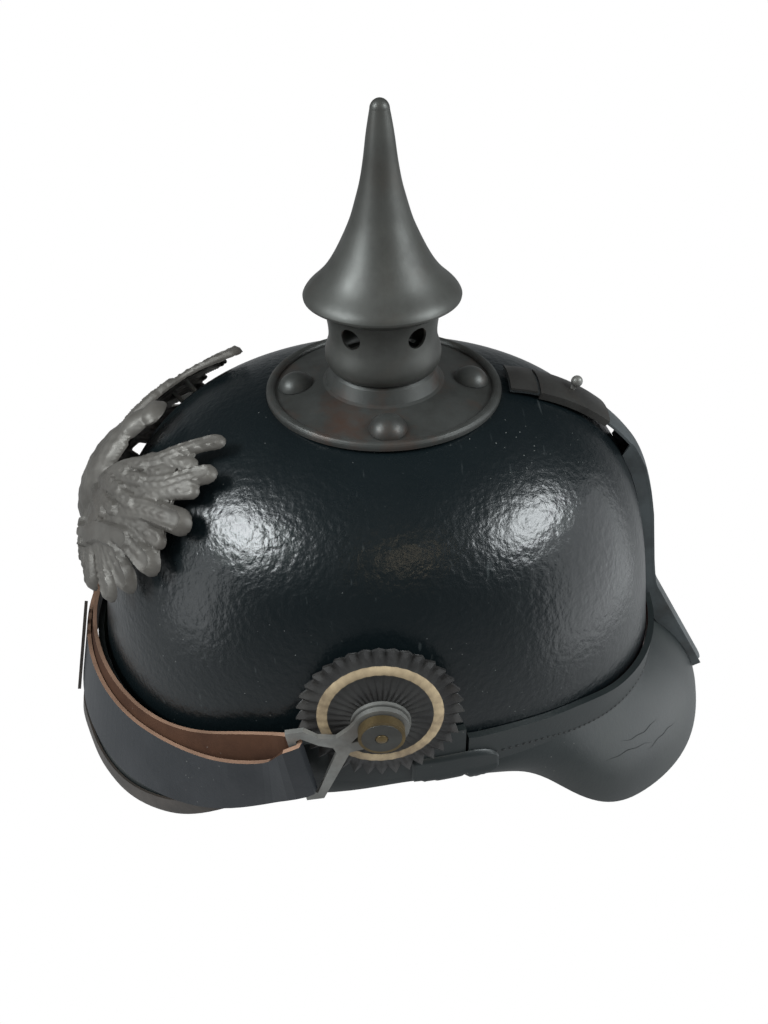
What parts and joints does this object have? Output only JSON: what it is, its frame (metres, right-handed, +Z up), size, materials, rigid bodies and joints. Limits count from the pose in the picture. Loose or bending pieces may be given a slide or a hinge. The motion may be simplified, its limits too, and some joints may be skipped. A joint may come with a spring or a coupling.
{
  "type": "spiked helmet",
  "caption": "Spiked leather helmet with steel fittings: lift-out spike, swinging chinstrap on side posts, sliding vent cover, visor, neck guard and liner.",
  "frame": {"origin": "centre of the footprint box, on the surface that the helmet stands on", "axes": "+Z up along the spike, -Y to the front (visor and eagle), +X to the wearer's left"},
  "size_m": [0.2024, 0.2713, 0.2413],
  "materials": {
    "shell_lacquer": "glossy black lacquer over leather, orange-peel sheen, dust and fine scratches",
    "flap_leather": "satin black leather, worn and finely cracked",
    "fitting_steel": "grey patinated steel with brown rust",
    "plate_steel": "stamped field-grey steel",
    "spine_steel": "blue-grey mottled steel",
    "slider_steel": "dark brown-grey steel",
    "trim_steel": "brown-grey steel strip",
    "lug_steel": "bright worn steel",
    "cockade_black": "black painted steel with a cream ring",
    "cap_steel": "dark steel with a brass rim",
    "strap_leather": "dark blue-grey outside, rough brown flesh side",
    "liner_leather": "natural tan leather",
    "cord_flax": "twisted flax cord"
  },
  "bodies": {
    "helmet": {"skull_shell": "shell_lacquer", "front_visor": "flap_leather", "neck_guard": "flap_leather", "visor_trim": "trim_steel", "base_plate": "fitting_steel", "base_studs": "fitting_steel", "stud_washers": "fitting_steel", "rear_spine": "spine_steel", "spine_head": "slider_steel", "eagle_plate": "plate_steel", "plate_loops": "lug_steel", "plate_wedges": "liner_leather", "sweatband": "liner_leather", "liner_tongues": "liner_leather", "drawstring": "cord_flax", "side_post_left": "fitting_steel", "post_nut_left": "fitting_steel", "cockade_left": "cockade_black", "post_collar_left": "lug_steel", "post_cap_left": "cap_steel", "side_post_right": "fitting_steel", "post_nut_right": "fitting_steel", "cockade_right": "cockade_black", "post_collar_right": "lug_steel", "post_cap_right": "cap_steel"},
    "spike": {"spike_point": "fitting_steel", "spike_neck": "fitting_steel", "spike_sleeve": "fitting_steel"},
    "strap": {"chinstrap_lug_left": "lug_steel", "chinstrap_lug_right": "lug_steel", "strap_buckle_left": "fitting_steel", "strap_buckle_right": "fitting_steel", "chinstrap": "strap_leather"},
    "vent_cover": {"vent_slider": "slider_steel", "slider_knob": "lug_steel"}
  },
  "joints": [
    {"name": "spike_lift", "type": "slide", "parent": "helmet", "child": "spike", "axis": [0, 0, 1], "range_m": [0, 0.045]},
    {"name": "chinstrap_lift", "type": "hinge", "parent": "helmet", "child": "strap", "pos_m": [0, -0.0075, 0.0947], "axis": [1, 0, 0], "range_deg": [-95, 0]},
    {"name": "vent_slide", "type": "hinge", "parent": "helmet", "child": "vent_cover", "pos_m": [0, 0.0325, 0.084], "axis": [-1, 0, 0], "range_deg": [0, 10]}
  ]
}
